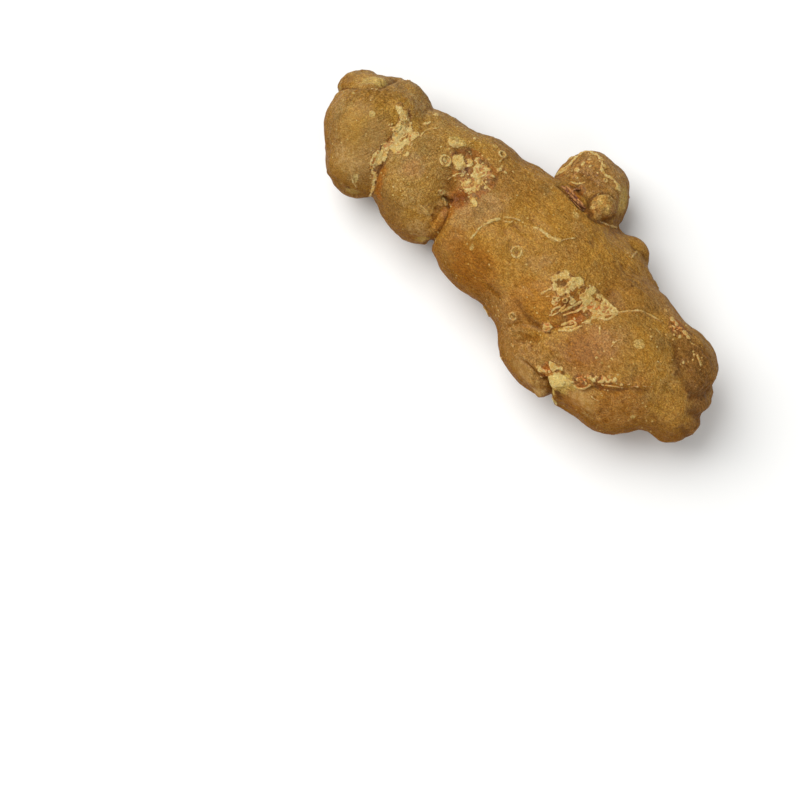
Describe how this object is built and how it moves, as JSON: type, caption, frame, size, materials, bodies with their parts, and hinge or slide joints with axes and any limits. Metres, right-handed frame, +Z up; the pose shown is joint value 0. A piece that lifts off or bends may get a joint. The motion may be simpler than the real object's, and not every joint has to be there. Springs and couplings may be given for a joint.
{
  "type": "solomons seal rhizome",
  "caption": "Thick fleshy jointed rhizome lying on its side, with swollen joints, a stubby side branch and a round axil bud.",
  "frame": {"origin": "on the surface that the rhizome lies on, below the middle of its bounding box", "axes": "+X along the rhizome from the crown end to the knobbly old end, +Y towards the side branch, +Z up"},
  "size_m": [0.1492, 0.071, 0.0357],
  "materials": {
    "rhizome_skin": "waxy amber brown skin, faintly translucent, finely wrinkled, with pale corky scars"
  },
  "bodies": {
    "root": {"rhizome": "rhizome_skin"}
  },
  "joints": []
}
